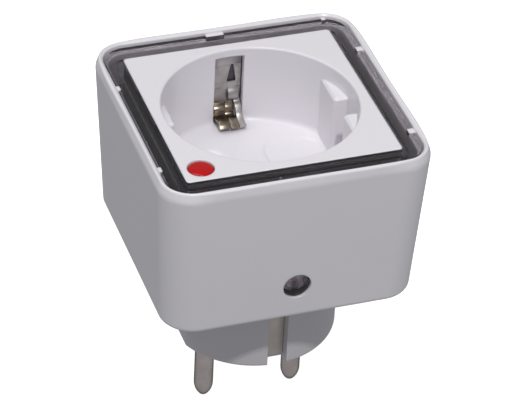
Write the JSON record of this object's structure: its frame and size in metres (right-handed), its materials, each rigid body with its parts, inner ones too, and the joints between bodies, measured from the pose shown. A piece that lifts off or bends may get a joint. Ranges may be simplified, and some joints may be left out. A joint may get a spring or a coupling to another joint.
{
  "type": "adapter plug with night light",
  "caption": "Square plug-in socket adapter: round pins below, earthed socket recess above, clear light frame around it, push button and light sensor window.",
  "frame": {"origin": "centre of the plug's flat end face, midway between the two pins", "axes": "+Z towards the socket face, pins point to -Z, -Y towards the side with the light sensor window, X along the line through both pins"},
  "size_m": [0.0548, 0.0548, 0.0723],
  "materials": {
    "shell_white": "gloss",
    "insert_white": "gloss",
    "base_white": "gloss",
    "clear_frame": "clear",
    "button_red": "gloss",
    "window_clear": "clear",
    "pin_nickel": "nickel plated",
    "earth_nickel": "nickel plated",
    "contact_brass": "satin",
    "screw_steel": "zinc plated",
    "spring_steel": "satin",
    "board_green": "solder mask",
    "board_black": "solder mask",
    "shield_black": "matt",
    "lamp_lens": "gloss",
    "switch_black": "matt",
    "plunger_white": "satin",
    "film_yellow": "satin",
    "can_blue": "satin",
    "chip_black": "matt",
    "resistor_tan": "satin",
    "sensor_amber": "gloss",
    "wire_brown": "satin",
    "wire_blue": "satin",
    "wire_red": "satin",
    "shutter_grey": "satin",
    "tray_white": "satin"
  },
  "bodies": {
    "adapter": {"casing": "shell_white", "plug_base": "base_white", "socket_insert": "insert_white", "light_frame": "clear_frame", "sensor_window": "window_clear", "line_pin": "pin_nickel", "neutral_pin": "pin_nickel", "line_contact": "contact_brass", "neutral_contact": "contact_brass", "earth_clip_rear": "earth_nickel", "earth_clip_front": "earth_nickel", "earth_strip_rear": "earth_nickel", "earth_strip_front": "earth_nickel", "earth_bridge": "earth_nickel", "insert_screw": "screw_steel", "casing_screws": "screw_steel", "button_spring": "spring_steel", "shutter_spring": "spring_steel", "circuit_board": "board_green", "led_board": "board_black", "leds": "lamp_lens", "light_shield": "shield_black", "switch_body": "switch_black", "film_capacitor": "film_yellow", "can_capacitor": "can_blue", "rectifier": "chip_black", "resistors": "resistor_tan", "transistor": "chip_black", "light_sensor": "sensor_amber", "line_wire": "wire_brown", "neutral_wire": "wire_blue", "lamp_wires": "wire_red", "shutter_tray": "tray_white"},
    "button": {"button_cap": "button_red", "switch_plunger": "plunger_white"},
    "shutter_rotor": {"shutter": "shutter_grey"}
  },
  "joints": [
    {"name": "button_press", "type": "slide", "parent": "adapter", "child": "button", "axis": [0, 0, -1], "range_m": [0, 0.001], "stiffness_N_per_m": 1200, "springref_m": -0.0005, "deforming": ["button_spring"]},
    {"name": "shutter_turn", "type": "hinge", "parent": "adapter", "child": "shutter_rotor", "pos_m": [0, 0, 0.0301], "axis": [0, 0, 1], "range_deg": [0, 42], "stiffness_Nm_per_rad": 0.01, "springref_deg": -11.46}
  ]
}
